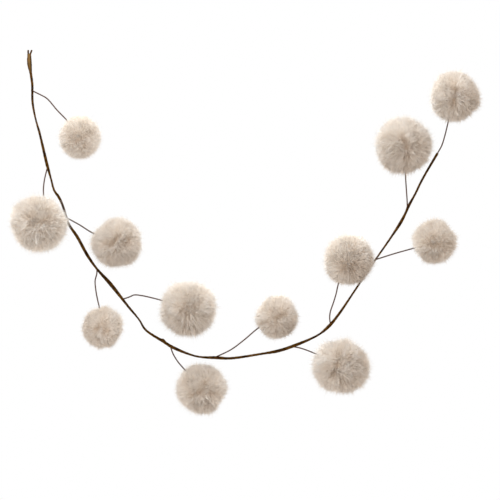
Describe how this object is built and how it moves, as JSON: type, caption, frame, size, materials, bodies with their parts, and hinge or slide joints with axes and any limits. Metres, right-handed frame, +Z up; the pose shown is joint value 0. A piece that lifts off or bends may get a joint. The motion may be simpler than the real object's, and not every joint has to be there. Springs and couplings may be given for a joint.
{
  "type": "faux fur pom-pom garland",
  "caption": "Hanging garland: fluffy faux fur balls on short bendable wire stalks, branching from a paper-wrapped wire stem that hangs in a swag.",
  "frame": {"origin": "the fork between the two wire tips at the stem's left end, where the garland is hung up", "axes": "+X along the swag towards its right end, +Z up, -Y towards the viewer; the swag lies in the XZ plane"},
  "size_m": [0.8917, 0.1306, 0.6951],
  "materials": {
    "fur": "long soft faux fur, greige with cream tips",
    "stem_wrap": "matte brown paper tape wound over wire",
    "stalk_wrap": "thin mauve-brown paper covering on wire"
  },
  "bodies": {
    "root": {"stem": "stem_wrap", "end_tip_left": "stem_wrap", "end_tip_right": "stem_wrap", "stalk_01": "stalk_wrap", "pom_01": "fur", "stalk_02": "stalk_wrap", "pom_02": "fur", "stalk_03": "stalk_wrap", "pom_03": "fur", "stalk_04": "stalk_wrap", "pom_04": "fur", "stalk_05": "stalk_wrap", "pom_05": "fur", "stalk_06": "stalk_wrap", "pom_06": "fur", "stalk_07": "stalk_wrap", "pom_07": "fur", "stalk_08": "stalk_wrap", "pom_08": "fur", "stalk_09": "stalk_wrap", "pom_09": "fur", "stalk_10": "stalk_wrap", "pom_10": "fur", "stalk_11": "stalk_wrap", "pom_11": "fur", "stalk_12": "stalk_wrap", "pom_12": "fur"}
  },
  "joints": []
}
